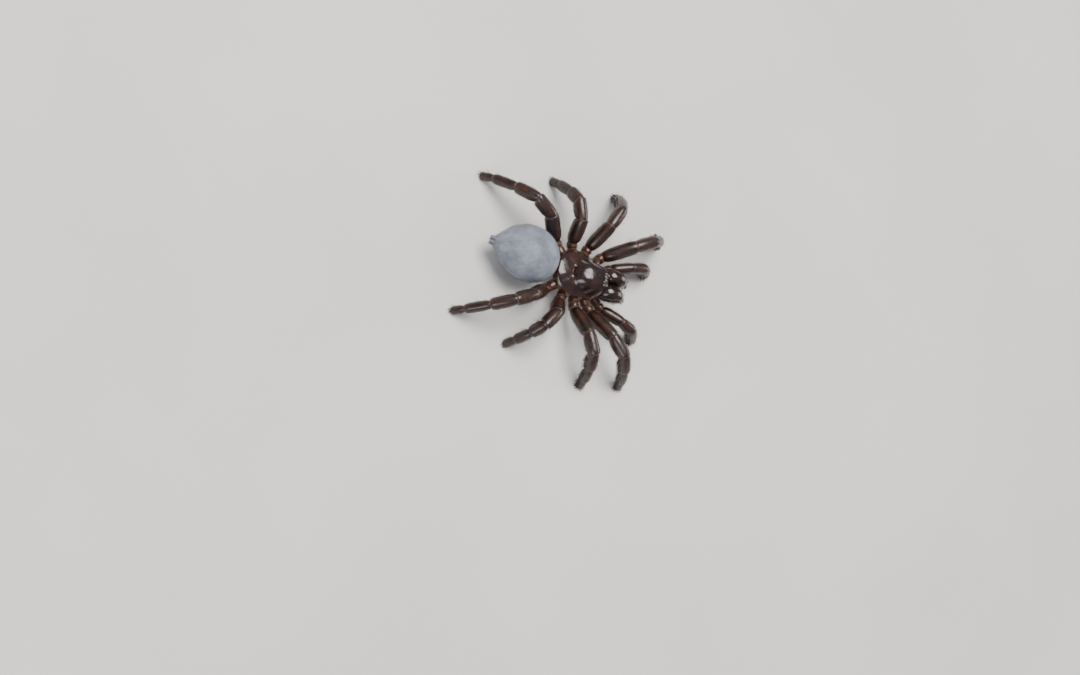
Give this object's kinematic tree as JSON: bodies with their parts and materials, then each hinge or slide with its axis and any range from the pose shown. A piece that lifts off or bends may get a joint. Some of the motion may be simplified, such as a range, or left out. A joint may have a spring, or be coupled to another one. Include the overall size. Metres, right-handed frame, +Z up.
{
  "type": "trapdoor spider",
  "caption": "Still life-size trapdoor spider with a pale egg-shaped abdomen, glossy dark carapace, stout jaws and short thick spiny legs, standing on a floor.",
  "frame": {"origin": "on the floor, under the middle of the spider's outline seen from above", "axes": "+X the way the head points, +Y to the spider's left, +Z up from the floor"},
  "size_m": [0.0438, 0.041, 0.0104],
  "materials": {
    "carapace_shell": "smooth glossy dark brown shell",
    "limb_shell": "glossy dark brown shell with bristles",
    "underside_shell": "satin lighter brown shell",
    "abdomen_skin": "matt pale grey skin with short fine hair",
    "fang_horn": "polished near-black horn",
    "eye_lens": "clear polished lens over a dark eye"
  },
  "bodies": {
    "root": {"carapace": "carapace_shell", "sternum": "underside_shell", "labium": "underside_shell", "abdomen": "abdomen_skin", "pedicel": "underside_shell", "eye_front_middle_left": "eye_lens", "eye_front_side_left": "eye_lens", "eye_back_middle_left": "eye_lens", "eye_back_side_left": "eye_lens", "spinneret_upper_left": "abdomen_skin", "spinneret_lower_left": "abdomen_skin", "chelicera_left": "carapace_shell", "fang_left": "fang_horn", "palp_left_femur": "limb_shell", "palp_left_tibia": "limb_shell", "palp_left_tarsus": "limb_shell", "leg_left_1_femur": "limb_shell", "leg_left_1_tibia": "limb_shell", "leg_left_1_tarsus": "limb_shell", "leg_left_2_femur": "limb_shell", "leg_left_2_tibia": "limb_shell", "leg_left_2_tarsus": "limb_shell", "leg_left_3_femur": "limb_shell", "leg_left_3_tibia": "limb_shell", "leg_left_3_tarsus": "limb_shell", "leg_left_4_femur": "limb_shell", "leg_left_4_tibia": "limb_shell", "leg_left_4_tarsus": "limb_shell", "eye_front_middle_right": "eye_lens", "eye_front_side_right": "eye_lens", "eye_back_middle_right": "eye_lens", "eye_back_side_right": "eye_lens", "spinneret_upper_right": "abdomen_skin", "spinneret_lower_right": "abdomen_skin", "chelicera_right": "carapace_shell", "fang_right": "fang_horn", "palp_right_femur": "limb_shell", "palp_right_tibia": "limb_shell", "palp_right_tarsus": "limb_shell", "leg_right_1_femur": "limb_shell", "leg_right_1_tibia": "limb_shell", "leg_right_1_tarsus": "limb_shell", "leg_right_2_femur": "limb_shell", "leg_right_2_tibia": "limb_shell", "leg_right_2_tarsus": "limb_shell", "leg_right_3_femur": "limb_shell", "leg_right_3_tibia": "limb_shell", "leg_right_3_tarsus": "limb_shell", "leg_right_4_femur": "limb_shell", "leg_right_4_tibia": "limb_shell", "leg_right_4_tarsus": "limb_shell"}
  },
  "joints": []
}
